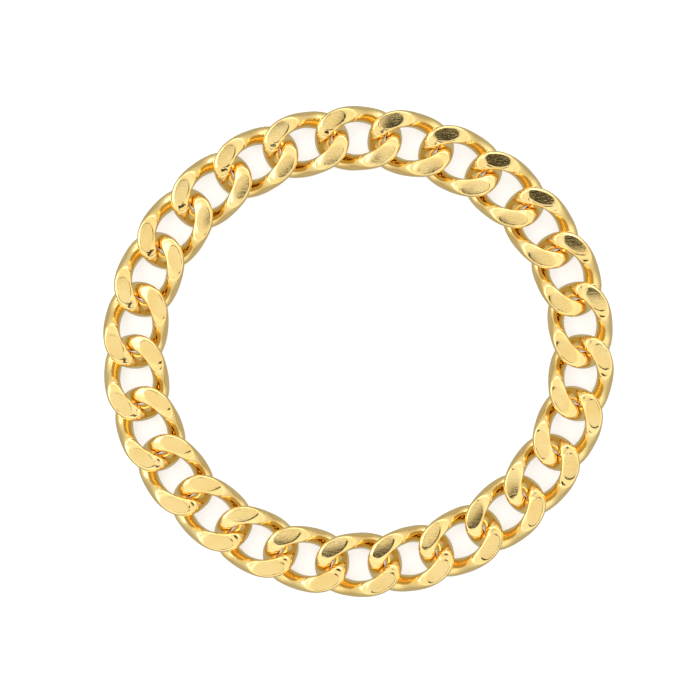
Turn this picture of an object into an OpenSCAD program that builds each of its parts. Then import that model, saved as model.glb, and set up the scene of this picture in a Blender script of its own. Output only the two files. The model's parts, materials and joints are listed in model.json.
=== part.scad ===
// Closed curb chain of heavy gold links with a concealed gate clasp in one link.
// Origin: ring centre on the resting plane. +Z up, +X along the ring's longer width.
// Links are numbered counter-clockwise seen from above, and the clasp link is number 1.

/* [Chain] */
// Number of links in the closed ring, even so that opposite halves match
link_count = 26; // [24:2:28]
// Distance between neighbouring joints, along a link
pitch = 16.15; // [16:0.05:16.3]
// Extra turn of the joints at the two long ends of the resting oval, in degrees
oval_turn = 1; // [0:0.1:3]

/* [Link] */
// Diameter of the round wire before its top and bottom are ground flat
wire_d = 4.9; // [4.6:0.1:5]
// Half length of a link, to the middle of the wire
half_length = 10.85; // [10.85:0.05:11.1]
// Half width of a link, to the middle of the wire
half_width = 7.35; // [7.2:0.05:7.5]
// Height of a strand's middle above the link's middle plane, where it crosses its neighbour
rise = 3; // [2.9:0.05:3.2]
// Depth below the top of an unpressed wire to which a link is ground flat, on both faces
grind = 1.2; // [1.1:0.05:1.6]
// How level the raised and lowered stretches are, from 0, a plain wave
level = 0.1; // [0.04:0.01:0.11]
// How much wider the wire is pressed where it crosses its neighbour, as a share
spread = 0.15; // [0:0.01:0.18]
// How much thinner the wire is pressed there, as a share
squeeze = 0.12; // [0.08:0.01:0.15]

/* [Clasp] */
// Diameter of the hinge pin
pin_d = 1.2; // [1:0.1:1.4]
// Radial gap between the pin and the gate's eye
pin_play = 0.03; // [0.02:0.01:0.08]
// Metal left over the top end of the pin
pin_cover = 0.3; // [0.25:0.05:0.5]
// How far the pin's lower end sits up from the underside of the ears
pin_inset = 0.1; // [0:0.05:0.2]
// Radius of the rounded ears that hold the gate's eye
ear_r = 3.3; // [3.2:0.05:3.4]
// Radius of the gate's eye between the ears
eye_r = 2.7; // [2.6:0.05:3]
// Thickness of the gate's eye
eye_t = 1.4; // [1.2:0.1:1.6]
// Gap between faces of the clasp that move past each other
slide_gap = 0.08; // [0.05:0.01:0.12]
// Distance from the hinge to the end of the gate
gate_reach = 13.5; // [13:0.1:14]
// Width of the spring tongue
tongue_w = 2.6; // [2:0.1:2.8]
// Thickness of the spring tongue
tongue_t = 0.5; // [0.4:0.05:0.6]
// Length of the tongue on each side of the gate's end
tongue_half = 2.2; // [1.8:0.1:2.4]
// Distance the tongue sits outward of the wire's middle
tongue_shift = 0.5; // [0.3:0.1:0.6]

/* [Hidden] */
CLASP_NODES = ["clasp_frame", "clasp_gate", "clasp_hinge_pin", "clasp_tongue"];
gold = [0.92, 0.74, 0.36];
steel = [0.75, 0.75, 0.76];
wire_r = wire_d / 2;
plane_z = rise + wire_r - grind;
half_ring = link_count / 2;
step_turn = 360 / link_count;
first_centre = 90;
wire_sides = 10;
wire_rings = 32;
// The wire's flat sides lie half inside and half outside the round it stands for
corner_r = wire_r * (1 + 1 / cos(180 / wire_sides)) / 2;
far = 60;
inner_strand_clear = 1.5;

// ---- Layout of the closed ring ----

function link_name(k) = str("link_", k < 10 ? "0" : "", k);

// Direction in which link k points, counter-clockwise round the ring
function heading(k) =
    let (centre = first_centre + step_turn * (k - 1))
    centre + 90 + oval_turn / (2 * sin(step_turn)) * sin(2 * centre);

function side(k) = pitch * [cos(heading(k)), sin(heading(k))];

// Sum of the sides of links 1 to k
function walk(k) = k < 1 ? [0, 0] : walk(k - 1) + side(k);

// The joint before link k. Half a turn on, the ring repeats itself, which puts the centre at the origin
function joint_at(k) = walk(k - 1) - walk(half_ring) / 2;

function link_centre(k) = (joint_at(k) + joint_at(k + 1)) / 2;

// ---- One link ----
// x runs along the chain and y towards the ring's centre. The wire's middle line is an ellipse whose
// four quarters are in turn below and above the link's middle plane, so that neighbours pass through.

function unit(v) = v / norm(v);

function wave(t) = -rise * (sin(2 * t) + level * sin(6 * t)) / (1 - level);

function wave_slope(t) = -rise * (2 * cos(2 * t) + 6 * level * cos(6 * t)) / (1 - level);

function middle(t) = [half_length * cos(t), half_width * sin(t), wave(t)];

function along(t) = unit([-half_length * sin(t), half_width * cos(t), wave_slope(t)]);

// How far the wire is pressed at t, from 0 at the link's ends and sides to 1 at the four crossings
function pressed(t) = sin(2 * t) * sin(2 * t);

// One polygon of points round the wire, square to its middle line
function wire_ring(t) =
    let (out = unit(cross(along(t), [0, 0, 1])), up = cross(out, along(t)))
    let (w = corner_r * (1 + spread * pressed(t)), h = corner_r * (1 - squeeze * pressed(t)))
    [for (j = [0 : wire_sides - 1])
        let (turn = 360 * (j + 0.5) / wire_sides)
        middle(t) + w * cos(turn) * out + h * sin(turn) * up];

module round_link() {
    points = [for (i = [0 : wire_rings - 1]) each wire_ring(360 * i / wire_rings)];
    faces = [
        for (i = [0 : wire_rings - 1], j = [0 : wire_sides - 1])
            let (this = i * wire_sides, next = ((i + 1) % wire_rings) * wire_sides)
            let (k = (j + 1) % wire_sides)
            each [[this + j, this + k, next + k], [this + j, next + k, next + j]]
    ];
    polyhedron(points, faces);
}

module ground_link() {
    intersection() {
        round_link();
        cube([far, far, 2 * plane_z], center = true);
    }
}

// Moves a shape from a link's own axes to the place of link k in the ring
module at_link(k) {
    translate([link_centre(k)[0], link_centre(k)[1], plane_z])
        rotate(heading(k))
            children();
}

module chain_link(k) {
    color(gold)
        at_link(k)
            ground_link();
}

// ---- Clasp ----
// The clasp link's outer strand opens as a gate. Its hinge is where that strand is highest, over the
// next link, and its free end is where the strand is low, beside the link before.

hinge_xy = [half_length * cos(45), -half_width * sin(45)];
hinge_way = atan2(half_width, half_length);
hinge_floor = rise - wire_r * (1 - squeeze);
eye_z = (plane_z + hinge_floor) / 2;
pin_top = plane_z - pin_cover;
pin_bottom = hinge_floor + pin_inset;
// The pin goes in from below, so its hole is open there
hole_bottom = hinge_floor - pin_d;

// Distance in plan from the hinge to the wire's middle at t
function reach(t) = norm([for (i = [0, 1]) middle(t)[i] - hinge_xy[i]]);

// The t between low and high at which that distance is gate_reach, found by halving
function find_tip(low, high, halvings) =
    let (t = (low + high) / 2)
    halvings == 0 ? t
    : reach(t) > gate_reach ? find_tip(t, high, halvings - 1)
    : find_tip(low, t, halvings - 1);

tip_turn = find_tip(low = 200, high = 270, halvings = 20);
tip = middle(tip_turn);
tip_way = atan2(along(tip_turn)[1], along(tip_turn)[0]);
// The slot lets the tongue's farthest corner swing by
tongue_corner = norm([tongue_half, tongue_shift + tongue_w / 2]);
slot_reach = gate_reach + tongue_corner + slide_gap;

module round_hinge(r, h, z = 0) {
    translate([hinge_xy[0], hinge_xy[1], z])
        cylinder(r = r, h = h, center = true, $fn = 128);
}

// The outer strand behind the hinge, between two distances from the hinge
module gate_zone(inner_r, outer_r) {
    difference() {
        intersection() {
            round_hinge(outer_r, far);
            translate([-far, -far - inner_strand_clear, -far / 2])
                cube([2 * far, far, far]);
            translate(hinge_xy)
                rotate(hinge_way)
                    translate([-far, -far / 2, -far / 2])
                        cube([far, far, far]);
        }
        round_hinge(inner_r, far);
    }
}

module tongue_blank() {
    translate(tip)
        rotate(tip_way)
            translate([0, -tongue_shift, 0])
                cube([2 * tongue_half, tongue_w, tongue_t], center = true);
}

// Room in the link for the tongue to swing out sideways
module tongue_slot() {
    inner_edge = tongue_w / 2 - tongue_shift + slide_gap;
    intersection() {
        round_hinge(slot_reach, far);
        translate(tip)
            rotate(tip_way)
                translate([tongue_half - far / 2, inner_edge - far / 2, 0])
                    cube([far, far, tongue_t + 2 * slide_gap], center = true);
    }
}

module clasp_frame() {
    color(gold)
        at_link(1)
            difference() {
                ground_link();
                gate_zone(ear_r, gate_reach + slide_gap);
                round_hinge(ear_r + slide_gap, eye_t + 2 * slide_gap, eye_z);
                round_hinge(pin_d / 2, pin_top - hole_bottom, (pin_top + hole_bottom) / 2);
                tongue_slot();
            }
}

module clasp_gate() {
    color(gold)
        at_link(1)
            difference() {
                intersection() {
                    ground_link();
                    union() {
                        gate_zone(ear_r + slide_gap, gate_reach);
                        gate_eye();
                    }
                }
                round_hinge(pin_d / 2 + pin_play, far);
                tongue_blank();
            }
}

module gate_eye() {
    round_hinge(eye_r, eye_t, eye_z);
    intersection() {
        gate_zone(pin_d, ear_r + 2 * slide_gap);
        translate([0, 0, eye_z])
            cube([far, far, eye_t], center = true);
    }
}

module clasp_hinge_pin() {
    color(steel)
        at_link(1)
            round_hinge(pin_d / 2, pin_top - pin_bottom, (pin_top + pin_bottom) / 2);
}

module clasp_tongue() {
    color(steel)
        at_link(1)
            tongue_blank();
}

clasp_frame();
clasp_gate();
clasp_hinge_pin();
clasp_tongue();
for (k = [2 : link_count])
    chain_link(k);
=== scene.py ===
"""A closed curb chain of heavy gold links, with a concealed gate clasp in its first link."""
import json
import math
import random

import bmesh
import bpy
import numpy as np
from mathutils import Matrix, Vector


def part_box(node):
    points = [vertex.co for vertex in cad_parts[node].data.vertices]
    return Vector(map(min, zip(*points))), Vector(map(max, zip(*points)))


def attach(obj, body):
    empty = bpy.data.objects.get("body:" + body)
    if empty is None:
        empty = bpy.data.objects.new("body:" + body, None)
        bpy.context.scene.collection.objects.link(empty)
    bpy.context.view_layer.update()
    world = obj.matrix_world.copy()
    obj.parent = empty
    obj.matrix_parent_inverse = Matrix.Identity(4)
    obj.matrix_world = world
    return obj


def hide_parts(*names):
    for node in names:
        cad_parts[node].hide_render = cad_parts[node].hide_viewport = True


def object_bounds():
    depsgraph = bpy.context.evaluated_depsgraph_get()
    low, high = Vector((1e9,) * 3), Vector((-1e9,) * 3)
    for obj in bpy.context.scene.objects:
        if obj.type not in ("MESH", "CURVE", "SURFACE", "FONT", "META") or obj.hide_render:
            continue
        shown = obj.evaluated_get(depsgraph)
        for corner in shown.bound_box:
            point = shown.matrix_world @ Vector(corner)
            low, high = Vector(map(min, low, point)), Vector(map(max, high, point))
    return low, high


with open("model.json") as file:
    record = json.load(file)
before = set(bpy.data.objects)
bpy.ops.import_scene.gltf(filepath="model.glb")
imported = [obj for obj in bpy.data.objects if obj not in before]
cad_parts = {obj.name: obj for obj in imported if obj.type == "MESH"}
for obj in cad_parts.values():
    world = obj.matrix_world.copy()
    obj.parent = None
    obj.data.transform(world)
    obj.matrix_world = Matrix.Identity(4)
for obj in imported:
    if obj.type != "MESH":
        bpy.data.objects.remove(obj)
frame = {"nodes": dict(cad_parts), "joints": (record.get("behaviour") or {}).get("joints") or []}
cad_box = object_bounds()

# ---- Driving dimensions, in millimetres ----

MM = 0.001
SEED = 41

# The links
LINK_COUNT = 26
HALF_LENGTH, HALF_WIDTH = 10.85, 7.35  # of the ellipse along the middle of the wire
WIRE_R = 2.45
RISE = 3.0  # height of a strand's middle over the link's, where it crosses its neighbour
LEVEL = 0.1  # how level it is there, from 0, a plain wave
SPREAD, SQUEEZE = 0.15, 0.12  # how much wider and thinner the wire is there, as shares
PLANE_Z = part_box("link_02")[1].z / 2 / MM  # half the thickness of the flattened chain
BEND_FULLER = 0.22  # extra metal at the inside of a link's two bends
BEND_SPAN = 0.2  # how far along the wire that reaches, as a sine

# The polisher's unevenness: WAVE_COUNT low waves, each some times along the wire and round it
WAVE_COUNT = 7
WAVE_HEIGHT = (0.004, 0.010)
WAVES_ALONG, WAVES_ROUND = (3, 13), (0, 3)

# The solder seam: a low bead across the outer strand, between two grooves
SEAM_TURN = math.radians(237.5)
SEAM_STRETCH = 9.2  # length of wire in a radian of t there
SEAM_WANDER = 0.07
BEAD_HEIGHT, BEAD_SPAN = (0.05, 0.085), 0.30
GROOVE_AWAY, GROOVE_DEPTH, GROOVE_SPAN = 0.36, 0.075, 0.09

# The flats: where t is at each, how far they reach, and how they tilt in degrees
TOP_OUTER, TOP_INNER = math.radians(315), math.radians(135)
UNDER_INNER, UNDER_OUTER = math.radians(45), math.radians(225)
FLAT_PITCH, FLAT_ROLL, FLAT_DIP = (-0.4, 0.6), (-1.8, -1.0), (0.05, 0.12)
FLAT_REACH, FLAT_WIDTH = (3.9, 4.5), (1.8, 2.05)
FLAT_BACK = 0.35  # from the crossing to a flat's middle, towards the middle of the link
CROWN_ALONG, CROWN_ACROSS = 420.0, 260.0  # radii of a flat's slight crown
BOXY = 2.3  # 2 is an ellipse, more is squarer
CREASE = 0.2  # slope just outside the sharp part of the outline
CRISP_WAY = 0.75  # direction of that part, from the nearer end of the link towards its outside
CRISP_FADE = 1.5  # how fast it turns soft away from there
BUFF_R = 3.6  # radius to which the metal round a flat is buffed
BUFF_DEPTH = 0.35  # the most that takes off
EDGE_ROUND = 0.22

# The clasp
EAR_R, EYE_R, EYE_T = 3.3, 2.7, 1.4
SLIDE_GAP, GATE_REACH, INNER_STRAND_CLEAR = 0.08, 13.5, 1.5
PIN_R, PIN_PLAY, PIN_COVER = 0.6, 0.03, 0.3
TONGUE_HALF, TONGUE_W, TONGUE_T, TONGUE_SHIFT = 2.2, 2.6, 0.5, 0.5
WEB_THINNER = 0.01  # a hair, so that no two faces of the gate lie in one plane
SHARP_FROM = math.radians(38)
TIP_BETWEEN = math.radians(200), math.radians(270)  # t at the end of the gate
HALVINGS = 20
FAR = 60.0  # longer than anything in a link

# The mesh of a link: rings along its wire and points round it, closer together at what is narrow
RINGS, SIDES = 168, 64
LOOKS_ALONG, LOOKS_ROUND = 900, 240  # how finely the shape is looked at to place them
MORE_AT_END, MORE_AT_OUTLINE, MORE_AT_SEAM = 1, 1.5, 4
END_SPAN, OUTLINE_SPAN, SEAM_SPAN = 0.12, 0.3, 0.08
MORE_ROUND_EDGE = 3
CUT_SPAN, CRISP_SPAN = 0.14, 0.2
SMALLEST_SHARE = 0.2
LEFT_ALONE = -1  # metal this far under a flat isn't touched
UNCUT_EDGE = 0.3  # what edge is at least where a flat hasn't cut
EDGE_LIMIT = 2
OUT_OF_REACH = 9.0


def smooth_min(a, b, width):
    """The lower of a and b, rounded where they cross."""
    share = np.clip(0.5 + 0.5 * (b - a) / width, 0, 1)
    return b + (a - b) * share - width * share * (1 - share)


def peak(distance, span):
    """1 at no distance, falling smoothly to nothing beyond about twice span."""
    return np.exp(-((distance / span) ** 2))


def turn_between(a, b):
    """The signed angle from b to a, at most half a turn either way."""
    return (a - b + math.pi) % (2 * math.pi) - math.pi


# ---- The wire of one link: x along the chain, y towards the ring's centre ----

def middle(t):
    """The middle of the wire, t being a full turn for the whole link."""
    wave = -RISE * (np.sin(2 * t) + LEVEL * np.sin(6 * t)) / (1 - LEVEL)
    return np.stack([HALF_LENGTH * np.cos(t), HALF_WIDTH * np.sin(t), wave], -1)


def along(t):
    """The wire's direction."""
    slope = -RISE * (2 * np.cos(2 * t) + 6 * LEVEL * np.cos(6 * t)) / (1 - LEVEL)
    way = np.stack([-HALF_LENGTH * np.sin(t), HALF_WIDTH * np.cos(t), slope], -1)
    return way / np.linalg.norm(way, axis=-1, keepdims=True)


def wire_surface(t, turn, ripple):
    """Points on the wire before grinding, at t along it and turn round it, arrays of one shape."""
    way = along(t)
    out = np.cross(way, [0.0, 0.0, 1.0])
    out /= np.linalg.norm(out, axis=-1, keepdims=True)
    up = np.cross(out, way)
    pressed = np.sin(2 * t) ** 2
    at_bend = peak(np.sin(t), BEND_SPAN) * np.maximum(-np.cos(turn), 0) ** 4
    lift = ripple(t, turn) + BEND_FULLER * at_bend
    wide = WIRE_R * (1 + SPREAD * pressed) + lift
    high = WIRE_R * (1 - SQUEEZE * pressed) + lift
    return (
        middle(t)
        + (wide * np.cos(turn))[..., None] * out
        + (high * np.sin(turn))[..., None] * up
    )


def make_ripple(rng, seamed):
    """The polisher's slight unevenness, and the solder seam across the outer strand."""
    waves = [
        (
            rng.uniform(*WAVE_HEIGHT),
            rng.randint(*WAVES_ALONG),
            rng.randint(*WAVES_ROUND),
            rng.uniform(0, 2 * math.pi),
        )
        for _ in range(WAVE_COUNT)
    ]
    phase = rng.uniform(0, 2 * math.pi)
    bead = rng.uniform(*BEAD_HEIGHT)

    def seam(t, turn):
        away = turn_between(t, SEAM_TURN) * SEAM_STRETCH + SEAM_WANDER * np.sin(3 * turn + phase)
        uneven = 1 + 0.35 * np.sin(2 * turn + phase) + 0.25 * np.sin(5 * turn - phase)
        lift = bead * uneven * peak(away, BEAD_SPAN)
        for groove in (-GROOVE_AWAY, GROOVE_AWAY):
            lift = lift - GROOVE_DEPTH * peak(away - groove, GROOVE_SPAN)
        return lift

    def ripple(t, turn):
        lift = sum(height * np.sin(n * t + m * turn + start) for height, n, m, start in waves)
        return lift + seam(t, turn) if seamed else lift

    return ripple


# ---- The flats ground on a link ----

class Facet:
    """One of the four flats: where it lies, how it is tilted, and how far it reaches."""

    def __init__(self, turn, pitch, roll, dip, reach, width):
        centre = middle(np.array(turn))
        self.turn = turn
        self.side = math.copysign(1, centre[2])
        way = along(np.array(turn))[:2]
        # ahead points to the nearer end of the link, and across away from its middle
        self.ahead = way / np.linalg.norm(way) * math.copysign(1, way[0] * centre[0])
        across = np.array([-self.ahead[1], self.ahead[0]])
        self.across = across * math.copysign(1, across @ centre[:2])
        self.centre = centre[:2] - FLAT_BACK * self.ahead
        self.pitch, self.roll, self.dip = pitch, roll, dip
        self.reach, self.width = reach, width

    def over(self, points):
        """For each point: how far it stands over the flat, the flat's own height there, how far it
        lies outside the flat's outline, and how sharp that outline is on its side."""
        from_centre = points[..., :2] - self.centre
        u, v = from_centre @ self.ahead, from_centre @ self.across
        level = PLANE_Z - self.dip - math.tan(self.pitch) * u - math.tan(self.roll) * v
        level = level - u * u / (2 * CROWN_ALONG) - v * v / (2 * CROWN_ACROSS)
        share = (np.abs(u / self.reach) ** BOXY + np.abs(v / self.width) ** BOXY) ** (1 / BOXY)
        edge = np.hypot(u, v) * (1 - 1 / np.maximum(share, SMALLEST_SHARE))
        crisp = (0.5 + 0.5 * np.cos(np.arctan2(v, u) - CRISP_WAY)) ** CRISP_FADE
        beyond = np.maximum(edge, 0)
        fall = CREASE * crisp * beyond + beyond**2 / (2 * BUFF_R)
        level = level - BUFF_DEPTH * (1 - np.exp(-fall / BUFF_DEPTH))
        return self.side * points[..., 2] - level, level, edge, crisp


def link_facets(rng):
    """A link's four flats. Each lies at its own slight tilt, as the link was held for grinding."""
    def flat(turn):
        pitch = math.radians(rng.uniform(*FLAT_PITCH))
        roll = math.radians(rng.uniform(*FLAT_ROLL))
        dip, reach, width = (rng.uniform(*limits) for limits in (FLAT_DIP, FLAT_REACH, FLAT_WIDTH))
        return Facet(turn, pitch, roll, dip, reach, width)

    return [flat(turn) for turn in (TOP_OUTER, TOP_INNER, UNDER_INNER, UNDER_OUTER)]


def over_nearest(points, t, facets):
    """Facet.over for the flat each point is under or over. Away from every flat, the first is below
    zero and the next two above."""
    over = np.full(t.shape, -OUT_OF_REACH)
    level = np.full(t.shape, OUT_OF_REACH)
    edge = np.full(t.shape, OUT_OF_REACH)
    crisp = np.zeros(t.shape)
    for facet in facets:
        near = np.abs(turn_between(t, facet.turn)) < math.pi / 4
        here = near & (facet.side * points[..., 2] > 0)
        found = facet.over(points)
        over, level, edge, crisp = (
            np.where(here, new, old) for new, old in zip(found, (over, level, edge, crisp))
        )
    return over, level, edge, crisp


# ---- The mesh of one link ----

def even_turns(count):
    return (np.arange(count) + 0.5) / count * 2 * math.pi


def spread_by(density, count):
    """count places round a full turn, closer together where density, one value per equal step, is
    higher."""
    total = np.concatenate([[0], np.cumsum(density)])
    steps = np.linspace(0, 2 * math.pi, len(total))
    return np.interp(np.arange(count) / count * total[-1], total, steps)


def place_points(facets, ripple):
    """t at every ring, and the turns of the points round it."""
    turns = even_turns(LOOKS_ROUND)

    def look(t):
        t_grid, turn_grid = np.meshgrid(t, turns, indexing="ij")
        over, _, edge, crisp = over_nearest(wire_surface(t_grid, turn_grid, ripple), t_grid, facets)
        return over, edge, crisp

    fine = even_turns(LOOKS_ALONG)
    over, edge, _ = look(fine)
    at_end = peak(over.max(1), END_SPAN)
    at_outline = peak(edge.min(1), OUTLINE_SPAN)
    at_seam = peak(turn_between(fine, SEAM_TURN), SEAM_SPAN)
    density = 1 + MORE_AT_END * at_end + MORE_AT_OUTLINE * at_outline + MORE_AT_SEAM * at_seam
    t_rings = spread_by(density, RINGS)

    over, edge, crisp = look(t_rings)
    density = 1 + MORE_ROUND_EDGE * (peak(over, CUT_SPAN) + crisp * peak(edge, CRISP_SPAN))
    return t_rings, np.array([spread_by(row, SIDES) for row in density])


def link_arrays(facets, ripple):
    """A ground link's points, faces and the attributes its material reads."""
    t_rings, turns = place_points(facets, ripple)
    t = np.repeat(t_rings[:, None], SIDES, 1)
    points = wire_surface(t, turns, ripple)
    over, level, edge, crisp = over_nearest(points, t, facets)
    side = np.sign(points[..., 2])
    lowered = side * smooth_min(side * points[..., 2], level, EDGE_ROUND)
    points[..., 2] = np.where(over > LEFT_ALONE, lowered, points[..., 2])
    # A flat's outline shows only where the wheel has cut
    edge = np.where(over > 0, edge, np.maximum(edge, UNCUT_EDGE - over))
    edge = np.clip(edge, -EDGE_LIMIT, EDGE_LIMIT)
    attributes = {"edge": edge.ravel(), "crisp": crisp.ravel()}

    i, j = np.meshgrid(np.arange(RINGS), np.arange(SIDES), indexing="ij")
    this, that = i * SIDES, (i + 1) % RINGS * SIDES
    j_next = (j + 1) % SIDES
    faces = np.stack([this + j, this + j_next, that + j_next, that + j], -1)
    return points.reshape(-1, 3), faces.reshape(-1, 4), attributes


def new_piece(name, points, faces, attributes):
    mesh = bpy.data.meshes.new(name)
    mesh.from_pydata(points.tolist(), [], faces.tolist())
    for key, values in attributes.items():
        layer = mesh.attributes.new(key, "FLOAT", "POINT")
        layer.data.foreach_set("value", values.astype(np.float32))
    mesh.validate()
    mesh.shade_smooth()
    piece = bpy.data.objects.new(name, mesh)
    bpy.context.scene.collection.objects.link(piece)
    return piece


def make_link(k, name):
    """Link k in its own axes and in millimetres. The clasp link has no seam: its gate ends there."""
    rng = random.Random(SEED + k)
    facets = link_facets(rng)
    return new_piece(name, *link_arrays(facets, make_ripple(rng, seamed=k > 1)))


# ---- Places of the links in the ring ----

def link_name(k):
    return f"link_{k:02d}"


pivot = {joint["child"]: Vector(joint["pos_m"]).xy for joint in frame["joints"]}
starts = {k: pivot[link_name(k)] for k in range(2, LINK_COUNT + 1)}
starts[1] = -starts[1 + LINK_COUNT // 2]  # the ring repeats itself half a turn on


def settle(piece, k):
    """Moves a piece from a link's own axes and millimetres to the place of link k, in metres."""
    start, end = starts[k], starts[k % LINK_COUNT + 1]
    centre, way = (start + end) / 2, end - start
    place = Matrix.Translation((centre.x, centre.y, PLANE_Z * MM))
    turned = Matrix.Rotation(math.atan2(way.y, way.x), 4, "Z")
    piece.data.transform(place @ turned @ Matrix.Scale(MM, 4))


# ---- Materials ----

def add_node(tree, kind, inputs=None, **settings):
    node = tree.nodes.new(kind)
    for key, value in settings.items():
        setattr(node, key, value)
    for key, value in (inputs or {}).items():
        if isinstance(value, bpy.types.NodeSocket):
            tree.links.new(value, node.inputs[key])
        else:
            node.inputs[key].default_value = value
    return node


def maths(tree, operation, a, b=0.0):
    return add_node(tree, "ShaderNodeMath", {0: a, 1: b}, operation=operation).outputs[0]


def noise(tree, coords, scale, detail, roughness=0.5):
    inputs = {"Vector": coords, "Scale": scale, "Detail": detail, "Roughness": roughness}
    return add_node(tree, "ShaderNodeTexNoise", inputs).outputs[0]


def remap(tree, value, low, high, to_low=0.0, to_high=1.0):
    """to_low where value is low and to_high where it is high, no less and no more."""
    inputs = {"Value": value, "From Min": low, "From Max": high, "To Min": to_low, "To Max": to_high}
    return add_node(tree, "ShaderNodeMapRange", inputs).outputs[0]


def attribute(tree, name):
    return add_node(tree, "ShaderNodeAttribute", attribute_name=name).outputs["Fac"]


def blank_material(name):
    material = bpy.data.materials.new(name)
    material.use_nodes = True
    tree = material.node_tree
    tree.nodes.clear()
    shader = add_node(tree, "ShaderNodeBsdfPrincipled")
    output = add_node(tree, "ShaderNodeOutputMaterial")
    tree.links.new(shader.outputs[0], output.inputs[0])
    return material, tree, shader


def metal_finish(tree, shader, colour, roughness, height, strength):
    """Makes the shader a metal with that colour, roughness and bump."""
    inputs = {"Height": height, "Strength": strength, "Distance": 0.00002}
    bump = add_node(tree, "ShaderNodeBump", inputs)
    tree.links.new(colour, shader.inputs["Base Color"])
    tree.links.new(roughness, shader.inputs["Roughness"])
    tree.links.new(bump.outputs[0], shader.inputs["Normal"])
    shader.inputs["Metallic"].default_value = 1.0


def scratches(tree, coords, direction, stretch, scale, cut):
    """Thin scratches in one direction: the ridges of a noise pulled out along it."""
    inputs = {"Vector": coords, "Rotation": (0.3, 0.2, direction), "Scale": (1, stretch, stretch)}
    turned = add_node(tree, "ShaderNodeMapping", inputs).outputs[0]
    return remap(tree, noise(tree, turned, scale, 2.0, 0.6), cut, cut + 0.09)


def gold_colour(tree, coords, edge):
    """Gold a little redder here and there, with painted shade: a dark line painted in the sharp part
    of each flat's outline, where the step at the flat's end falls in shade."""
    cloud = noise(tree, coords, 150.0, 3.0, 0.55)
    tone = add_node(tree, "ShaderNodeValToRGB", {"Fac": cloud})
    red, yellow = tone.color_ramp.elements
    red.position, yellow.position = 0.36, 0.66
    red.color = (0.93, 0.665, 0.245, 1)
    yellow.color = (0.97, 0.735, 0.315, 1)

    # Painted shade: a dark line along the sharp part of each flat's outline, broken into patches by
    # noise
    line = remap(tree, maths(tree, "ABSOLUTE", edge), 0.14, 0.04)
    patchy = maths(tree, "MULTIPLY", attribute(tree, "crisp"), noise(tree, coords, 230.0, 1.0))
    painted_shade = maths(tree, "MULTIPLY", line, remap(tree, patchy, 0.38, 0.52))
    # Mixes the near-black amber of the painted shade line into the gold
    inputs = {0: painted_shade, 6: tone.outputs[0], 7: (0.10, 0.055, 0.012, 1)}
    return add_node(tree, "ShaderNodeMix", inputs, data_type="RGBA").outputs[2]


def gold_marks(tree, coords):
    """Scratches in three directions."""
    marks = scratches(tree, coords, direction=0.4, stretch=14, scale=420, cut=0.60)
    for direction, stretch, scale in ((1.5, 18, 360), (2.5, 12, 480)):
        marks = maths(tree, "MAXIMUM", marks, scratches(tree, coords, direction, stretch, scale, 0.62))
    return marks


def make_gold():
    material, tree, shader = blank_material("gold_polished")
    coords = add_node(tree, "ShaderNodeTexCoord").outputs["Object"]
    edge = attribute(tree, "edge")
    fine = noise(tree, coords, 1600.0, 3.0, 0.55)
    marks = gold_marks(tree, coords)
    cells = add_node(tree, "ShaderNodeTexVoronoi", {"Vector": coords, "Scale": 1300.0})
    pits = remap(tree, cells.outputs["Distance"], 0.10, 0.20)

    polished = remap(tree, fine, 0.3, 0.7, 0.04, 0.08)
    satin = maths(tree, "MULTIPLY", remap(tree, edge, 0.03, -0.05), 0.015)
    worn = maths(tree, "MULTIPLY", marks, 0.07)
    rough = maths(tree, "ADD", maths(tree, "ADD", polished, satin), worn)

    height = maths(tree, "MULTIPLY", marks, -0.6)
    height = maths(tree, "ADD", height, maths(tree, "MULTIPLY", pits, 0.2))
    height = maths(tree, "ADD", height, maths(tree, "MULTIPLY", fine, 0.3))
    metal_finish(tree, shader, gold_colour(tree, coords, edge), rough, height, strength=0.09)
    return material


def make_steel(name, colour, rough, grain):
    """Steel with fine streaks, closer together along the axes in which grain is larger."""
    material, tree, shader = blank_material(name)
    coords = add_node(tree, "ShaderNodeTexCoord").outputs["Object"]
    lines = add_node(tree, "ShaderNodeMapping", {"Vector": coords, "Scale": grain}).outputs[0]
    streaks = noise(tree, lines, 900.0, 3.0)
    tone = add_node(tree, "ShaderNodeValToRGB", {"Fac": streaks})
    dark, light = tone.color_ramp.elements
    dark.color = (*[0.8 * c for c in colour], 1)
    light.color = (*colour, 1)
    roughness = remap(tree, streaks, 0.0, 1.0, rough - 0.06, rough + 0.1)
    metal_finish(tree, shader, tone.outputs[0], roughness, streaks, strength=0.3)
    return material


gold = make_gold()
pin_steel = make_steel("pin_steel_ground", (0.50, 0.50, 0.52), 0.3, (1, 1, 20))
tongue_steel = make_steel("tongue_steel_brushed", (0.46, 0.46, 0.48), 0.34, (1, 12, 12))


# ---- The soldered links ----

def add_gold(piece, body, *nodes):
    piece.data.materials.append(gold)
    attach(piece, body)
    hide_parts(*nodes)


for k in range(2, LINK_COUNT + 1):
    soldered = make_link(k, link_name(k) + "_gold")
    settle(soldered, k)
    add_gold(soldered, link_name(k), link_name(k))


# ---- The clasp link, cut into frame and gate like the CAD's, in its own axes and in millimetres ----

HINGE = (HALF_LENGTH * math.cos(math.pi / 4), -HALF_WIDTH * math.sin(math.pi / 4))
HINGE_WAY = math.atan2(HALF_WIDTH, HALF_LENGTH)
HINGE_FLOOR = RISE - WIRE_R * (1 - SQUEEZE)
HOLE_BOTTOM = HINGE_FLOOR - PIN_R
EYE_Z = (PLANE_Z + HINGE_FLOOR) / 2
PIN_TOP = PLANE_Z - PIN_COVER


def cutter(add_shape, place):
    mesh = bpy.data.meshes.new("cutter")
    shape = bmesh.new()
    add_shape(shape)
    shape.to_mesh(mesh)
    shape.free()
    mesh.transform(place)
    piece = bpy.data.objects.new("cutter", mesh)
    bpy.context.scene.collection.objects.link(piece)
    return piece


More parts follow.
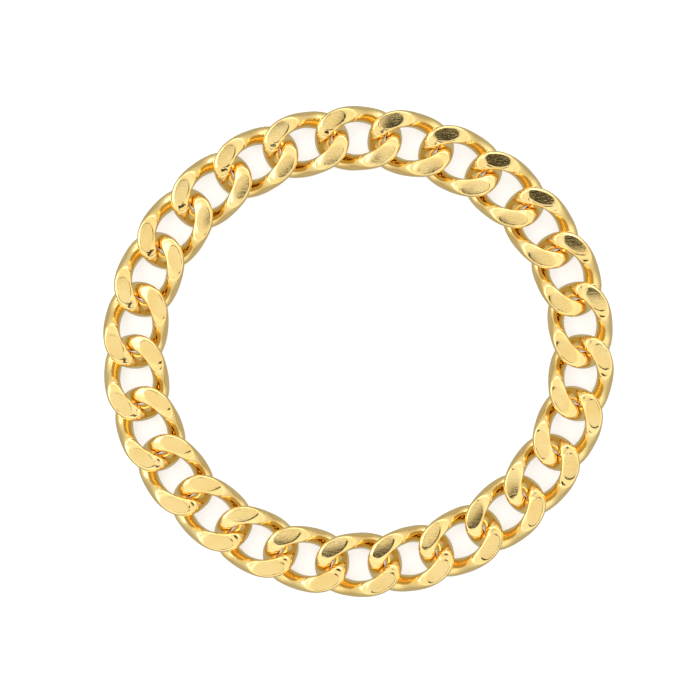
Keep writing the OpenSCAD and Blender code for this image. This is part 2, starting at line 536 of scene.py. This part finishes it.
def disc(radius, height, z=0.0):
    """A cylinder about the gate's hinge."""
    size = {"radius1": radius, "radius2": radius, "depth": height}
    return cutter(
        lambda shape: bmesh.ops.create_cone(shape, cap_ends=True, segments=128, **size),
        Matrix.Translation((*HINGE, z)),
    )


def block(size, place):
    """A block of that size about its own middle."""
    scale = Matrix.Diagonal((*size, 1))
    return cutter(lambda shape: bmesh.ops.create_cube(shape, size=1), place @ scale)


def combine(piece, other, operation):
    """Joins, cuts or intersects piece with other, which is used up."""
    step = piece.modifiers.new("step", "BOOLEAN")
    step.operation, step.object, step.solver = operation, other, "EXACT"
    graph = bpy.context.evaluated_depsgraph_get()
    result = bpy.data.meshes.new_from_object(piece.evaluated_get(graph))
    piece.modifiers.clear()
    piece.data = result
    bpy.data.objects.remove(other)
    return piece


def gate_zone(inner_r, outer_r):
    """The outer strand behind the hinge, between two distances from the hinge."""
    zone = disc(outer_r, FAR)
    outer_strand = Matrix.Translation((0, -FAR / 2 - INNER_STRAND_CLEAR, 0))
    combine(zone, block((2 * FAR, FAR, FAR), outer_strand), "INTERSECT")
    hinge = Matrix.Translation((*HINGE, 0)) @ Matrix.Rotation(HINGE_WAY, 4, "Z")
    behind = hinge @ Matrix.Translation((-FAR / 2, 0, 0))
    combine(zone, block((FAR, FAR, FAR), behind), "INTERSECT")
    return combine(zone, disc(inner_r, FAR), "DIFFERENCE")


def tip_place():
    """The axes of the gate's free end, where the wire's middle is GATE_REACH from the hinge."""
    low, high = TIP_BETWEEN
    for _ in range(HALVINGS):
        turn = (low + high) / 2
        if math.dist(middle(np.array(turn))[:2], HINGE) > GATE_REACH:
            low = turn
        else:
            high = turn
    way = along(np.array(turn))
    turned = Matrix.Rotation(math.atan2(way[1], way[0]), 4, "Z")
    return Matrix.Translation(middle(np.array(turn))) @ turned


def tongue_slot():
    """Room in the link for the tongue to swing out sideways."""
    edge = TONGUE_W / 2 - TONGUE_SHIFT + SLIDE_GAP
    place = tip_place() @ Matrix.Translation((TONGUE_HALF - FAR / 2, edge - FAR / 2, 0))
    slot = block((FAR, FAR, TONGUE_T + 2 * SLIDE_GAP), place)
    reach = GATE_REACH + math.hypot(TONGUE_HALF, TONGUE_SHIFT + TONGUE_W / 2) + SLIDE_GAP
    return combine(slot, disc(reach, FAR), "INTERSECT")


def finish_cut(piece):
    settle(piece, 1)
    piece.data.shade_smooth()
    piece.data.set_sharp_from_angle(angle=SHARP_FROM)
    return piece


def make_clasp_frame():
    piece = make_link(1, "clasp_frame_gold")
    combine(piece, gate_zone(EAR_R, GATE_REACH + SLIDE_GAP), "DIFFERENCE")
    combine(piece, disc(EAR_R + SLIDE_GAP, EYE_T + 2 * SLIDE_GAP, EYE_Z), "DIFFERENCE")
    combine(piece, tongue_slot(), "DIFFERENCE")
    combine(piece, disc(PIN_R, PIN_TOP - HOLE_BOTTOM, (PIN_TOP + HOLE_BOTTOM) / 2), "DIFFERENCE")
    return finish_cut(piece)


def make_clasp_gate():
    """The gate is its arm, its eye and the web between them, each cut from a whole link."""
    piece = make_link(1, "clasp_gate_gold")
    eye = make_link(1, "eye")
    combine(piece, gate_zone(EAR_R + SLIDE_GAP, GATE_REACH), "INTERSECT")
    combine(eye, disc(EYE_R, EYE_T, EYE_Z), "INTERSECT")
    web = make_link(1, "web")
    combine(web, gate_zone(2 * PIN_R, EAR_R + 2 * SLIDE_GAP), "INTERSECT")
    at_eye = Matrix.Translation((0, 0, EYE_Z))
    combine(web, block((FAR, FAR, EYE_T - WEB_THINNER), at_eye), "INTERSECT")
    combine(piece, web, "UNION")
    combine(piece, eye, "UNION")
    combine(piece, disc(PIN_R + PIN_PLAY, FAR), "DIFFERENCE")
    return finish_cut(piece)


add_gold(make_clasp_frame(), "clasp_link", "clasp_frame")
add_gold(make_clasp_gate(), "gate", "clasp_gate")

for node, material in (("clasp_hinge_pin", pin_steel), ("clasp_tongue", tongue_steel)):
    frame["nodes"][node].data.materials.clear()
    frame["nodes"][node].data.materials.append(material)

# ---- Floor, light and camera, in metres ----

lowest, highest = cad_box
ring_centre = (lowest + highest) / 2
ring_width = highest.x - lowest.x

FLOOR_HALF, FLOOR_BELOW = 3, 0.00005
FLAG_HEIGHT = 0.6
CAMERA_HEIGHT = 1.0
RING_SHARE = 0.7271  # of the picture's width that the ring fills
CAMERA_ASIDE = (-0.0120, 0.0021)  # from over the ring's middle, as shares of the picture's width
# The studio's brightness, from straight below at 0 to straight above at 1
SKY = (
    (0.0, 0.50), (0.44, 0.54), (0.52, 0.70), (0.66, 0.90),
    (0.80, 1.20), (0.93, 1.28), (0.985, 1.04), (1.0, 1.0),
)


def add_stage(name, points, material):
    mesh = bpy.data.meshes.new(name)
    mesh.from_pydata(points, [], [tuple(range(len(points)))])
    mesh.materials.append(material)
    piece = bpy.data.objects.new(name, mesh)
    bpy.context.scene.collection.objects.link(piece)
    return piece


def add_floor():
    """A white light table, which the gold doesn't reflect."""
    material, _, shader = blank_material("floor_white")
    shader.inputs["Base Color"].default_value = (0.6, 0.6, 0.6, 1)
    shader.inputs["Roughness"].default_value = 0.9
    shader.inputs["Emission Color"].default_value = (1, 1, 1, 1)
    shader.inputs["Emission Strength"].default_value = 0.55
    corners = [(x * FLOOR_HALF, y * FLOOR_HALF, 0) for x, y in ((-1, -1), (1, -1), (1, 1), (-1, 1))]
    floor = add_stage("floor", corners, material)
    floor.location.z = -FLOOR_BELOW
    floor.visible_glossy = False


def add_sky():
    world = bpy.data.worlds.new("studio")
    bpy.context.scene.world = world
    world.use_nodes = True
    tree = world.node_tree
    tree.nodes.clear()
    direction = add_node(tree, "ShaderNodeTexCoord").outputs["Generated"]
    up = add_node(tree, "ShaderNodeSeparateXYZ", {0: direction}).outputs["Z"]
    sky = add_node(tree, "ShaderNodeValToRGB", {"Fac": remap(tree, up, -1.0, 1.0)})
    while len(sky.color_ramp.elements) < len(SKY):
        sky.color_ramp.elements.new(0.5)
    for element, (place, value) in zip(sky.color_ramp.elements, SKY):
        element.position = place
        element.color = (value, value, value, 1)
    background = add_node(tree, "ShaderNodeBackground", {"Color": sky.outputs[0], "Strength": 1.0})
    output = add_node(tree, "ShaderNodeOutputWorld")
    tree.links.new(background.outputs[0], output.inputs[0])


def add_softbox(name, size, power, place):
    data = bpy.data.lights.new(name, "AREA")
    data.shape, data.size, data.size_y = "RECTANGLE", *size
    data.energy = power
    light = bpy.data.objects.new(name, data)
    light.location = place
    light.rotation_euler = (ring_centre - Vector(place)).to_track_quat("-Z", "Y").to_euler()
    light.visible_camera = False
    bpy.context.scene.collection.objects.link(light)


def add_flag(name, degrees, radii):
    """A black arc hung over the ring, seen only in the gold's reflections."""
    steps = np.radians(np.linspace(*degrees, 12))
    inner, outer = (
        [(radius * math.cos(step), radius * math.sin(step), FLAG_HEIGHT) for step in steps]
        for radius in radii
    )
    flag = add_stage(name, outer + inner[::-1], flag_material)
    flag.visible_camera = flag.visible_diffuse = flag.visible_shadow = False


def add_camera():
    """Looks straight down on the ring, as in the photo."""
    view_width = ring_width / RING_SHARE
    data = bpy.data.cameras.new("camera")
    data.sensor_width = 36
    data.lens = data.sensor_width * CAMERA_HEIGHT / view_width
    data.clip_start, data.clip_end = 0.05, 10
    camera = bpy.data.objects.new("camera", data)
    aside = [share * view_width for share in CAMERA_ASIDE]
    camera.location = ring_centre + Vector((*aside, CAMERA_HEIGHT))
    bpy.context.scene.collection.objects.link(camera)
    bpy.context.scene.camera = camera


add_floor()
add_sky()

flag_material, _, flag_shader = blank_material("flag_black")
flag_shader.inputs["Base Color"].default_value = (0.03, 0.028, 0.02, 1)
flag_shader.inputs["Roughness"].default_value = 1.0
add_flag("flag_upper_right", degrees=(10, 76), radii=(0.046, 0.116))
add_flag("flag_lower", degrees=(248, 326), radii=(0.126, 0.19))
add_flag("flag_top", degrees=(88, 148), radii=(0.104, 0.118))

add_softbox("softbox_left", size=(0.7, 0.9), power=3.0, place=(-0.75, 0.25, 0.85))
add_softbox("softbox_back", size=(0.9, 0.5), power=2.0, place=(0.2, 0.8, 0.8))

add_camera()
bpy.context.scene.view_settings.view_transform = "Standard"
